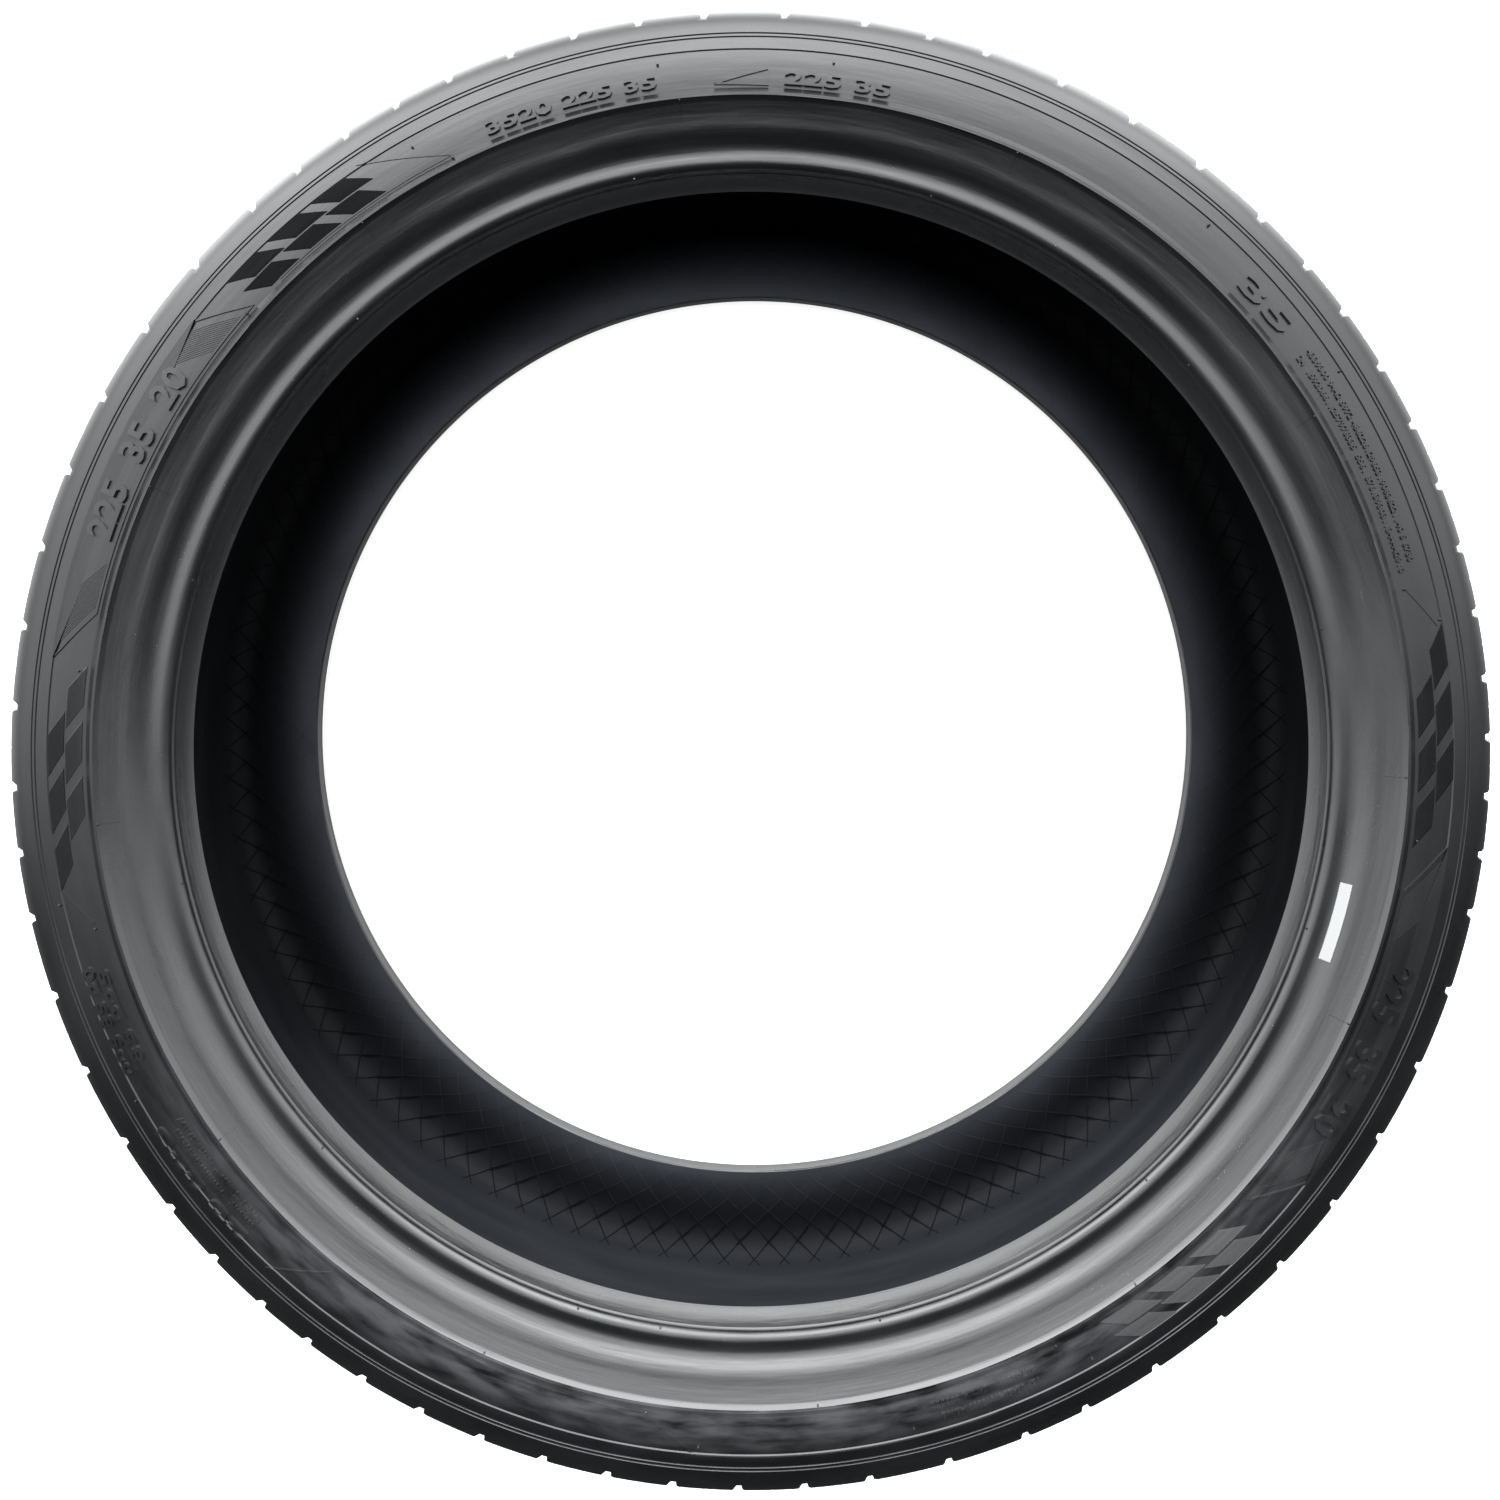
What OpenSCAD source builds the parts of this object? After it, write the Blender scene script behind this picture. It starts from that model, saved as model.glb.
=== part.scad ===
// Low-profile car tyre, unmounted, lying on its sidewall.
// The wheel axis is Z and the origin is the middle of the tyre. All sizes are in millimetres.

/* [Fit to the wheel] */
// Diameter of the bore at the two bead toes
bead_bore_d = 508; // [440:1:540]
// Length of the plain cylindrical land behind each toe
bead_land = 7; // [4:0.5:9]
// Width of the bead base from toe to flange face
bead_base_w = 20.2; // [18:0.1:23]
// Angle by which the bead base widens from the land to the heel
base_taper = 16; // [4:1:20]
// Radius of the rounded heel
heel_r = 5; // [3.5:0.1:7]
// How far the flat flange face reaches out from the bore
flange_face_h = 11.6; // [10:0.2:14]

/* [Overall size] */
// Outer diameter over the middle of the tread
outer_d = 665.5; // [655:0.5:680]
// Width over the two rim protectors
overall_w = 225; // [222:1:232]
// How far the flange face lies below the rim protector's edge
flange_drop = 10.3; // [8:0.1:12]
// How far the rim protector's edge reaches out from the bore
protector_reach = 31.5; // [28:0.5:34]
// Height of the rim protector's edge over the sidewall
protector_h = 2; // [1:0.2:3]
// How far outside the rim protector's edge the sidewall is widest
widest_offset = 4.5; // [3:0.5:6]
// Height of the step where the sidewall's lettered band starts
band_step = 0.5; // [0.3:0.1:0.8]

/* [Tread] */
// Width of each rounded shoulder, from the flat part of the tread to the rim protector's edge
shoulder_w = 24.5; // [22:0.5:28]
// Radius of the tread's gentle curve across its width
crown_r = 2800; // [1500:100:5000]
// Radius of the rounded shoulders
shoulder_r = 20; // [16:1:22]
// Width of the solid rib in the middle
centre_rib_w = 26; // [20:1:32]
// Width of the two grooves beside the middle rib
inner_groove_w = 10; // [7:0.5:12]
// Distance from the flat tread's edge to the middle of the outer groove
outer_groove_inset = 34; // [31:0.5:37]
// Width of the two outer grooves
outer_groove_w = 8.5; // [6:0.5:10]
// Depth of the four grooves that run around
tread_depth = 7.5; // [6:0.1:8.5]
// Thickness of the crown under its middle rib
crown_wall = 15.5; // [14:0.5:17]

/* [Cross grooves] */
// Length of a short pitch along the tread
pitch_short = 26.7; // [24:0.1:28]
// Length of a medium pitch along the tread
pitch_medium = 29.9; // [28:0.1:33]
// Length of a long pitch along the tread
pitch_long = 36.6; // [33:0.1:40]
// Width of a cross groove at its inner end
arm_tip_w = 2.6; // [2:0.1:3.5]
// Width of a cross groove at the shoulder
arm_w = 4.4; // [3.5:0.1:5]
// How far the inner end of a cross groove leads its shoulder end
arm_sweep = 34; // [20:1:40]
// Depth of the cross grooves, below the middle of the tread
arm_depth = 6.2; // [5:0.1:6.8]
// Depth of the notch that each cross groove leaves in the shoulder
notch_depth = 1.8; // [1.2:0.1:2.4]
// Width of the slanted side that the notch has
notch_chamfer = 3; // [2:0.1:4]
// Width of the fine cuts between the cross grooves
sipe_w = 0.8; // [0.6:0.1:1.2]
// Height of the wear bars over the floor of the grooves that run around
wear_bar_h = 1.6; // [1.2:0.1:2]

/* [Walls] */
// Thickness of the sidewall where it is thinnest
sidewall_t = 7.8; // [6:0.2:9]

/* [Hidden] */
$fn = 96;

// Order of the short, medium and long pitches around the tread, which keeps the tyre quiet
PITCH_ORDER = "LMSLLLLMSMMMMMMSSSSLLLLLLLLMLLMMMMMMMMMSMMLLLLMMLLLLLLLLSSSSMMMML";
// Clockwise angle of the first cross groove from +Y
first_pitch_a = 2.6;

outer_r = outer_d / 2;
bore_r = bead_bore_d / 2;
edge_r = bore_r + protector_reach;
edge_z = overall_w / 2;
flange_z = edge_z - flange_drop;
flange_face_r = bore_r + flange_face_h;
toe_z = flange_z - bead_base_w;
land_end_z = toe_z + bead_land;
heel_z = flange_z - heel_r;

// Radius of the tapered bead base at a height, past the land
function base_at(z) = bore_r + (z - land_end_z) * tan(base_taper);

// The sidewall's widest point lies just outside the rim protector
wide_z = edge_z - protector_h;
wide_r = edge_r + widest_offset;

// Radius of the tread's surface at a height above the middle plane
function crown_at(z) = outer_r - (crown_r - sqrt(crown_r * crown_r - z * z));

crown_end_z = edge_z - shoulder_w;
crown_end_r = crown_at(crown_end_z);
crown_end_a = asin(crown_end_z / crown_r);

// The shoulder arc and the sidewall arc meet with one tangent, at join_a from the axial direction
join_q = (wide_z - crown_end_z + shoulder_r * (sin(crown_end_a) - 1))
    / (crown_end_r - wide_r - shoulder_r * cos(crown_end_a));
join_a = 90 - 2 * atan(join_q);
sidewall_r = shoulder_r + (crown_end_r - wide_r - shoulder_r * cos(crown_end_a)) / cos(join_a);
join_r = wide_r + sidewall_r * cos(join_a);

// Height of the sidewall's surface at a radius
function sidewall_at(r) =
    wide_z - sidewall_r + sqrt(sidewall_r * sidewall_r - (r - wide_r) * (r - wide_r));

// Points of an arc in the section, by the angle of its surface from the axial direction
function arc(centre, r, from_a, to_a, steps) = [
    for (i = [0 : steps])
        let (a = from_a + (to_a - from_a) * i / steps)
        centre + r * [cos(a), sin(a)]
];

// Points of a cubic curve with the given four control points, its first point left out
function curve(p, steps) = [
    for (i = [1 : steps])
        let (t = i / steps, u = 1 - t)
        u * u * u * p[0] + 3 * u * u * t * p[1] + 3 * u * t * t * p[2] + t * t * t * p[3]
];

// Points of a groove that runs around the tread, from its lower to its upper edge
function ring_groove(from_z, to_z, depth) =
    let (floor_r = outer_r - depth, lean = 1.2, corner = 0.8)
    [
        [crown_at(from_z), from_z],
        [floor_r + corner, from_z + lean],
        [floor_r, from_z + lean + corner],
        [floor_r, to_z - lean - corner],
        [floor_r + corner, to_z - lean],
        [crown_at(to_z), to_z]
    ];

// Points of a fine line around the sidewall
function ring_line(r, w, depth) = [
    [r + w / 2, sidewall_at(r + w / 2)],
    [r, sidewall_at(r) - depth],
    [r - w / 2, sidewall_at(r - w / 2)]
];

inner_groove_z = centre_rib_w / 2;
outer_groove_z = crown_end_z - outer_groove_inset;

TREAD = concat(
    ring_groove(inner_groove_z, inner_groove_z + inner_groove_w, tread_depth),
    ring_groove(outer_groove_z - outer_groove_w / 2, outer_groove_z + outer_groove_w / 2, tread_depth)
);

shoulder_at = [crown_end_r, crown_end_z] - shoulder_r * [cos(crown_end_a), sin(crown_end_a)];
SHOULDER = arc(shoulder_at, shoulder_r, crown_end_a, join_a, 5);

// The sidewall carries two fine lines below the shoulder and a step where its lettered band starts
line_w = 0.8;
line_depth = 0.5;
line_below_shoulder = 3;
line_spacing = 1.8;
band_below_shoulder = 11;
protector_foot = 1;
line_r = join_r - line_below_shoulder;
band_r = join_r - band_below_shoulder;
band_end_r = wide_r - protector_foot;
band_steps = 4;

SIDEWALL = concat(
    ring_line(line_r, line_w, line_depth),
    ring_line(line_r - line_spacing, line_w, line_depth),
    [[band_r + band_step, sidewall_at(band_r + band_step)]],
    [for (i = [0 : band_steps])
        let (r = band_r + (band_end_r - band_r) * i / band_steps)
        [r, sidewall_at(r) - band_step]]
);

// The protector's edge stands proud, and three slopes lead in from it to the flange face
edge_flat = 1.2;
edge_slope = 1;
lip = 1.6;
inner_slope_w = 6.4;
inner_slope_a = 35;
middle_slope_w = 5.1;
middle_slope_a = 10;
inner_slope_end = [
    flange_face_r + inner_slope_w,
    flange_z + inner_slope_w * tan(inner_slope_a)
];

PROTECTOR = [
    [edge_r + edge_flat / 2 + edge_slope, edge_z - edge_slope],
    [edge_r + edge_flat / 2, edge_z],
    [edge_r - edge_flat / 2, edge_z],
    [edge_r - edge_flat / 2 - lip, edge_z - lip],
    inner_slope_end + middle_slope_w * [1, tan(middle_slope_a)],
    inner_slope_end,
    [flange_face_r, flange_z]
];

// A fine line runs around where the heel ends, and the toe has a small bevel at the liner
heel_line_w = 0.8;
heel_line_depth = 0.5;
toe_bevel = 0.7;

BEAD = concat(
    arc([base_at(heel_z) + heel_r, heel_z], heel_r, 90, 180, 6),
    [
        [base_at(heel_z - heel_line_w / 2) + heel_line_depth, heel_z - heel_line_w / 2],
        [base_at(heel_z - heel_line_w), heel_z - heel_line_w],
        [bore_r, land_end_z],
        [bore_r, toe_z + toe_bevel],
        [bore_r + toe_bevel, toe_z]
    ]
);

// The liner is flat under the tread, hollow under the shoulder and leans in to the toe
liner_wide_offset = 10;
liner_shoulder_w = 22;
liner_r = outer_r - crown_wall;
liner_wide_r = wide_r + liner_wide_offset;
liner_wide_z = sidewall_at(liner_wide_r) - sidewall_t;
liner_flat_z = crown_end_z - liner_shoulder_w;
liner_pull = 13;
toe_pull = 14;
toe_rise = 2;
shoulder_pull = 24;
liner_steps = 7;

LINER = concat(
    curve([
        [bore_r + toe_bevel, toe_z],
        [bore_r + toe_pull, toe_z + toe_rise],
        [liner_wide_r - liner_pull, liner_wide_z],
        [liner_wide_r, liner_wide_z]
    ], liner_steps),
    curve([
        [liner_wide_r, liner_wide_z],
        [liner_wide_r + liner_pull, liner_wide_z],
        [liner_r, liner_flat_z + shoulder_pull],
        [liner_r, liner_flat_z]
    ], liner_steps)
);

UPPER_HALF = concat(TREAD, SHOULDER, SIDEWALL, PROTECTOR, BEAD, LINER);
LAST = len(UPPER_HALF) - 1;
LOWER_HALF = [for (i = [LAST : -1 : 0]) [UPPER_HALF[i][0], -UPPER_HALF[i][1]]];

// Length of a pitch by its letter, and the angle at which each pitch starts
function pitch_length(letter) =
    letter == "S" ? pitch_short : letter == "M" ? pitch_medium : pitch_long;
PITCHES = [for (letter = PITCH_ORDER) pitch_length(letter)];
function sum_to(list, n) = n <= 0 ? 0 : list[n - 1] + sum_to(list, n - 1);
ROUND = sum_to(PITCHES, len(PITCHES));
function pitch_a(i) = 360 * sum_to(PITCHES, i) / ROUND;

// A cross groove starts short of the inner groove and sweeps out to the shoulder
arm_gap = 5;
arm_straight = 2;
arm_in_z = inner_groove_z + inner_groove_w + arm_gap;
arm_out_z = crown_end_z - arm_straight;
arm_run = arm_out_z - arm_in_z;
arm_floor_r = outer_r - arm_depth;
arm_steps = 5;
tip_flare = 0.3;

// Reach of the cutters past the shoulder and over the tread
past_shoulder = 24;
over_tread = 12;

// Offset along the tread and width of a cross groove, by its share of the way to the shoulder
function arm_at(t) = arm_sweep * (1 - t) * (1 - t);
function arm_w_at(t) = (arm_tip_w + (arm_w - arm_tip_w) * t) * (1 + tip_flare * (1 - t));

// One side of a cross groove, from its inner end to its shoulder end
function arm_side(side) = [
    for (i = [0 : arm_steps])
        let (t = i / arm_steps)
        [arm_at(t) + side * arm_w_at(t) / 2, arm_in_z + arm_run * t]
];
function reversed(list) = [for (i = [len(list) - 1 : -1 : 0]) list[i]];

ARM_PLAN = concat(
    arm_side(1),
    [[arm_w / 2, arm_out_z + past_shoulder], [-arm_w / 2, arm_out_z + past_shoulder]],
    reversed(arm_side(-1))
);

sipe_shallower = 1;
sipe_gap = 5;
sipe_straight = 7;
sipe_floor_r = arm_floor_r + sipe_shallower;
sipe_in_z = outer_groove_z + outer_groove_w / 2 + sipe_gap;
sipe_in_s = arm_at((sipe_in_z - arm_in_z) / arm_run);
sipe_bend_z = crown_end_z - sipe_straight;

SIPE_PLAN = [
    [sipe_in_s - sipe_w / 2, sipe_in_z],
    [sipe_in_s + sipe_w / 2, sipe_in_z],
    [sipe_w / 2, sipe_bend_z],
    [sipe_w / 2, arm_out_z + past_shoulder],
    [-sipe_w / 2, arm_out_z + past_shoulder],
    [-sipe_w / 2, sipe_bend_z]
];

// Cuts a plan, drawn along the tread and across it, straight down to a floor
module cut_down(floor_r, plan) {
    translate([floor_r, 0, 0])
        rotate([90, 0, 90])
            linear_extrude(over_tread)
                polygon(plan);
}

// The notch that a cross groove leaves in the shoulder: a straight cut along the shoulder's slope
notch_a = 32;
notch_w = 2.2;
notch_reach = 12;
notch_over = 1;
notch_lean = 0.8;

module notch() {
    floor_r = shoulder_r - notch_depth;
    top_r = shoulder_r + notch_over;
    translate([shoulder_at[0], 0, shoulder_at[1]])
        rotate([0, -notch_a, 0])
            translate([0, 0, -notch_reach])
                linear_extrude(2 * notch_reach)
                    polygon([
                        [floor_r, notch_w / 2],
                        [floor_r, -notch_w / 2],
                        [top_r, -notch_w / 2 - notch_chamfer],
                        [top_r, notch_w / 2 + notch_lean]
                    ]);
}

module pitch_cuts(i) {
    start_a = pitch_a(i);
    half_a = (pitch_a(i + 1) - start_a) / 2;
    rotate([0, 0, -start_a]) {
        cut_down(arm_floor_r, ARM_PLAN);
        notch();
    }
    rotate([0, 0, -start_a - half_a])
        cut_down(sipe_floor_r, SIPE_PLAN);
}

// Low bars across the grooves that run around show how far the tread has worn
wear_bars = 6;
wear_bar_l = 9;
wear_bar_root = 1;
wear_bar_side = 0.3;

module wear_bar(from_z, groove_w, s) {
    translate([outer_r - tread_depth - wear_bar_root, s - wear_bar_l / 2, from_z + wear_bar_side])
        cube([wear_bar_root + wear_bar_h, wear_bar_l, groove_w - 2 * wear_bar_side]);
}

// A bar lies midway between two cross grooves, and so is moved along the tread as they are
module wear_bar_pair(i) {
    s = arm_at((outer_groove_z - arm_in_z) / arm_run);
    rotate([0, 0, -(pitch_a(i) + pitch_a(i + 1)) / 2]) {
        wear_bar(inner_groove_z, inner_groove_w, s);
        wear_bar(outer_groove_z - outer_groove_w / 2, outer_groove_w, s);
    }
}

// The far half of the tread is the near one mirrored, turned on by a part of a pitch
far_half_turn = 2.5;

module half_turned(turn) {
    rotate([0, 0, 90 - first_pitch_a - turn])
        children();
}

module half_cuts(turn) {
    half_turned(turn)
        for (i = [0 : len(PITCHES) - 1])
            pitch_cuts(i);
}

module half_bars(turn) {
    half_turned(turn)
        for (k = [0 : wear_bars - 1])
            wear_bar_pair(floor(k * len(PITCHES) / wear_bars));
}

module tyre() {
    color("#2c2d2f")
        difference() {
            union() {
                rotate_extrude()
                    polygon(concat(UPPER_HALF, LOWER_HALF));
                half_bars(0);
                mirror([0, 0, 1])
                    half_bars(far_half_turn);
            }
            half_cuts(0);
            mirror([0, 0, 1])
                half_cuts(far_half_turn);
        }
}

tyre();
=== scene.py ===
"""A low-profile car tyre lying on its sidewall, seen from straight above.

Lengths are in millimetres until a point is placed. An angle around the tyre is in degrees and
runs clockwise from +Y, as seen from above. The wheel axis is Z.
"""
import math
import random

import bpy
from mathutils import Matrix, Vector


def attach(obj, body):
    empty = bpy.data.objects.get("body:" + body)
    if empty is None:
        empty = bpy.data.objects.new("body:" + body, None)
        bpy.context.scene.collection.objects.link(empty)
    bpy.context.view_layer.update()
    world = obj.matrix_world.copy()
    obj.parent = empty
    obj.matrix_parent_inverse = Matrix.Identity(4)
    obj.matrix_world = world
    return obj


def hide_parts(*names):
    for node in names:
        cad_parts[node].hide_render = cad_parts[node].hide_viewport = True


MM = 0.001

# Overall size
OUTER_R = 332.75
EDGE_Z = 112.5
EDGE_R = 285.5
PROTECTOR_H = 2.0
WIDEST_OFFSET = 4.5
BAND_STEP = 0.5

# Bead, and the slopes that lead to it from the rim protector
BORE_R = 254.0
FLANGE_Z = 102.2
FLANGE_FACE_R = 265.6
INNER_SLOPE_W = 6.4
INNER_SLOPE_A = math.radians(35)
MIDDLE_SLOPE_W = 5.1
MIDDLE_SLOPE_A = math.radians(15)
VALLEY_OUT = 0.5
VALLEY_DROP = 0.2
TOE_Z = 82.0
TOE_BEVEL = 0.7
LAND = 7.0
BASE_TAPER = math.radians(16)
HEEL_R = 4.2
BEAD_LINE_W = 0.8
BEAD_LINE_DEPTH = 0.5

# Tread
CROWN_END_Z = 88.0
CROWN_R = 2800.0
SHOULDER_R = 20.0
INNER_GROOVE = (13.0, 23.0)
OUTER_GROOVE = (49.75, 58.25)
TREAD_DEPTH = 7.5
CROWN_WALL = 15.5
PITCH_ORDER = "LMSLLLLMSMMMMMMSSSSLLLLLLLLMLLMMMMMMMMMSMMLLLLMMLLLLLLLLSSSSMMMML"
PITCH_LENGTHS = {"S": 26.7, "M": 29.9, "L": 36.6}
FIRST_PITCH = 2.6
FAR_HALF_TURN = 2.5
ARM_TIP_W = 2.6
ARM_W = 4.4
ARM_TIP_FLARE = 0.3
ARM_SWEEP = 34.0
ARM_DEPTH = 6.2
ARM_STEPS = 9
NOTCH_W = 2.2
NOTCH_DEPTH = 1.8
NOTCH_CHAMFER = 3.0
NOTCH_LEAN = 0.8
NOTCH_REACH = 12
NOTCH_A = math.radians(32)
SIPE_W = 0.8
SIPE_GAP = 5
SIPE_STRAIGHT = 7
WEAR_BARS = 6
WEAR_BAR_H = 1.6
WEAR_BAR_L = 9.0
SIDEWALL_T = 7.8

# Places that follow from the sizes above
LAND_END_Z = TOE_Z + LAND
HEEL_Z = FLANGE_Z - HEEL_R
WIDE_Z = EDGE_Z - PROTECTOR_H
WIDE_R = EDGE_R + WIDEST_OFFSET


def crown_at(z):
    """Radius of the tread's surface at a height above the middle plane."""
    return OUTER_R - (CROWN_R - math.sqrt(CROWN_R**2 - z**2))


CROWN_END_R = crown_at(CROWN_END_Z)
CROWN_END_A = math.asin(CROWN_END_Z / CROWN_R)

# The shoulder arc and the sidewall arc meet with one tangent
ARC_SPAN = CROWN_END_R - WIDE_R - SHOULDER_R * math.cos(CROWN_END_A)
JOIN_Q = (WIDE_Z - CROWN_END_Z + SHOULDER_R * (math.sin(CROWN_END_A) - 1)) / ARC_SPAN
JOIN_A = math.pi / 2 - 2 * math.atan(JOIN_Q)
SIDEWALL_R = SHOULDER_R + ARC_SPAN / math.cos(JOIN_A)
JOIN_R = WIDE_R + SIDEWALL_R * math.cos(JOIN_A)


def sidewall_at(r):
    """Height of the plain sidewall's surface at a radius."""
    return WIDE_Z - SIDEWALL_R + math.sqrt(SIDEWALL_R**2 - (r - WIDE_R) ** 2)


def arc(centre, radius, from_a, to_a, steps):
    """Points (r, z) along an arc of the section."""
    angles = [from_a + (to_a - from_a) * i / steps for i in range(steps + 1)]
    return [(centre[0] + radius * math.cos(a), centre[1] + radius * math.sin(a)) for a in angles]


def curve(p, steps):
    """Points along a cubic curve with four control points, its first point left out."""
    points = []
    for i in range(1, steps + 1):
        t = i / steps
        u = 1 - t
        weights = (u**3, 3 * u * u * t, 3 * u * t * t, t**3)
        points.append(tuple(sum(w * q[k] for w, q in zip(weights, p)) for k in (0, 1)))
    return points


def ring_groove(from_z, to_z):
    """Section of a groove that runs around the tread."""
    lean = 1.2
    corner = 0.8
    floor_r = OUTER_R - TREAD_DEPTH
    return [
        (crown_at(from_z), from_z),
        (floor_r + corner, from_z + lean),
        (floor_r, from_z + lean + corner),
        (floor_r, to_z - lean - corner),
        (floor_r + corner, to_z - lean),
        (crown_at(to_z), to_z),
    ]


def ring_line(r, width, depth):
    """Section of a fine line around the sidewall."""
    return [
        (r + width / 2, sidewall_at(r + width / 2)),
        (r, sidewall_at(r) - depth),
        (r - width / 2, sidewall_at(r - width / 2)),
    ]


def tread_section():
    """The two grooves that run around this half of the tread."""
    return ring_groove(*INNER_GROOVE) + ring_groove(*OUTER_GROOVE)


SHOULDER_AT = (
    CROWN_END_R - SHOULDER_R * math.cos(CROWN_END_A),
    CROWN_END_Z - SHOULDER_R * math.sin(CROWN_END_A),
)


def shoulder_section():
    """The rounded shoulder, as far as the sidewall's arc."""
    return arc(SHOULDER_AT, SHOULDER_R, CROWN_END_A, JOIN_A, steps=11)


LINE_R = JOIN_R - 3
LINE_SPACING = 1.8
LINE_W = 0.8
LINE_DEPTH = 0.5
BAND_R = JOIN_R - 11
BAND_END_R = WIDE_R - 1


def sidewall_section():
    """Two fine lines, a step down and the lettered band."""
    band = []
    steps = 8
    for i in range(steps + 1):
        r = BAND_R + (BAND_END_R - BAND_R) * i / steps
        band.append((r, sidewall_at(r) - BAND_STEP))
    step_top = (BAND_R + BAND_STEP, sidewall_at(BAND_R + BAND_STEP))
    outer_line = ring_line(LINE_R, LINE_W, LINE_DEPTH)
    inner_line = ring_line(LINE_R - LINE_SPACING, LINE_W, LINE_DEPTH)
    return outer_line + inner_line + [step_top] + band


def softened(points, rounds):
    """A section line with its inner corners cut again and again, until they look round."""
    for _ in range(rounds):
        cut = [points[0]]
        for (r0, z0), (r1, z1) in zip(points, points[1:]):
            cut.append((r0 * 0.75 + r1 * 0.25, z0 * 0.75 + z1 * 0.25))
            cut.append((r0 * 0.25 + r1 * 0.75, z0 * 0.25 + z1 * 0.75))
        points = cut + [points[-1]]
    return points


HALF_EDGE = 0.6
LIP = 1.6


def protector_section():
    """The proud edge of the rim protector."""
    return [
        (EDGE_R + HALF_EDGE + 1, EDGE_Z - 1),
        (EDGE_R + HALF_EDGE, EDGE_Z),
        (EDGE_R - HALF_EDGE, EDGE_Z),
    ]


def flange_section():
    """Three slopes that lead in from the protector to the flange face, with soft hollows between."""
    inner = (FLANGE_FACE_R + INNER_SLOPE_W, FLANGE_Z + INNER_SLOPE_W * math.tan(INNER_SLOPE_A))
    middle = (inner[0] + MIDDLE_SLOPE_W, inner[1] + MIDDLE_SLOPE_W * math.tan(MIDDLE_SLOPE_A))
    return softened(
        [
            (EDGE_R - HALF_EDGE - LIP, EDGE_Z - LIP),
            middle,
            inner,
            (FLANGE_FACE_R + VALLEY_OUT, FLANGE_Z - VALLEY_DROP),
            (base_at(HEEL_Z) + HEEL_R, FLANGE_Z),
        ],
        rounds=2,
    )


def base_at(z):
    """Radius of the tapered bead base at a height, past the land."""
    return BORE_R + (z - LAND_END_Z) * math.tan(BASE_TAPER)


def bead_section():
    """The round heel, a fine moulded line, the tapered base, the land and the toe."""
    heel_at = (base_at(HEEL_Z) + HEEL_R, HEEL_Z)
    heel = arc(heel_at, HEEL_R, math.pi / 2, math.pi, steps=9)[1:]
    line_z = HEEL_Z - BEAD_LINE_W / 2
    line_end_z = HEEL_Z - BEAD_LINE_W
    line = [(base_at(line_z) + BEAD_LINE_DEPTH, line_z), (base_at(line_end_z), line_end_z)]
    land = [(BORE_R, LAND_END_Z), (BORE_R, TOE_Z + TOE_BEVEL), (BORE_R + TOE_BEVEL, TOE_Z)]
    return heel + line + land


# Liner: where it is highest, where its flat crown begins, and how far its curves' handles reach
LINER_R = OUTER_R - CROWN_WALL
LINER_WIDE_R = WIDE_R + 10
LINER_WIDE_Z = sidewall_at(LINER_WIDE_R) - SIDEWALL_T
LINER_FLAT_Z = CROWN_END_Z - 22
TOE_HANDLE = (14, 2)
WIDE_HANDLE = 13
CROWN_HANDLE = 24


def liner_section():
    """From the toe out under the sidewall and over to the crown."""
    wall = [
        (BORE_R + TOE_BEVEL, TOE_Z),
        (BORE_R + TOE_HANDLE[0], TOE_Z + TOE_HANDLE[1]),
        (LINER_WIDE_R - WIDE_HANDLE, LINER_WIDE_Z),
        (LINER_WIDE_R, LINER_WIDE_Z),
    ]
    shoulder = [
        (LINER_WIDE_R, LINER_WIDE_Z),
        (LINER_WIDE_R + WIDE_HANDLE, LINER_WIDE_Z),
        (LINER_R, LINER_FLAT_Z + CROWN_HANDLE),
        (LINER_R, LINER_FLAT_Z),
    ]
    return curve(wall, steps=12) + curve(shoulder, steps=12)


SIDE = shoulder_section() + sidewall_section() + protector_section() + flange_section()
OUTSIDE = SIDE + bead_section()
LINER = [(BORE_R + TOE_BEVEL, TOE_Z)] + liner_section()
UPPER_HALF = tread_section() + OUTSIDE + LINER[1:]
OUTLINE = UPPER_HALF + [(r, -z) for r, z in reversed(UPPER_HALF)]


def surface_at(r):
    """Height of the moulded outside at a radius, between the heel and the shoulder."""
    for (r1, z1), (r0, z0) in zip(OUTSIDE, OUTSIDE[1:]):
        if r0 <= r <= r1 and r1 > r0:
            return z0 + (z1 - z0) * (r - r0) / (r1 - r0)
    raise ValueError(f"no outside surface at radius {r}")


def place(angle, r, z):
    """The point at an angle, a radius and a height, in metres."""
    a = math.radians(angle)
    return Vector((r * math.sin(a), r * math.cos(a), z)) * MM


def deselect():
    """Clears the selection, which every operator would act on."""
    bpy.ops.object.select_all(action="DESELECT")


def pick(*objects):
    """Selects only these objects, the first one active."""
    deselect()
    for o in objects:
        o.select_set(True)
    bpy.context.view_layer.objects.active = objects[0]


def edit(obj):
    """Opens an object in edit mode with all of it selected."""
    pick(obj)
    bpy.ops.object.mode_set(mode="EDIT")
    bpy.ops.mesh.select_all(action="SELECT")


def close_edit():
    """Leaves edit mode."""
    bpy.ops.object.mode_set(mode="OBJECT")


def ring_of(name, points, filled):
    """A primitive circle whose vertices are moved to the given points, in metres."""
    deselect()
    fill = "NGON" if filled else "NOTHING"
    bpy.ops.mesh.primitive_circle_add(vertices=len(points), fill_type=fill, location=(0, 0, 0))
    obj = bpy.context.object
    obj.name = name
    for v, p in zip(obj.data.vertices, points):
        v.co = p
    return obj


# Points closer than this are made one where a turned shape closes on itself
SEAM_MERGE = 0.002


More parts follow.
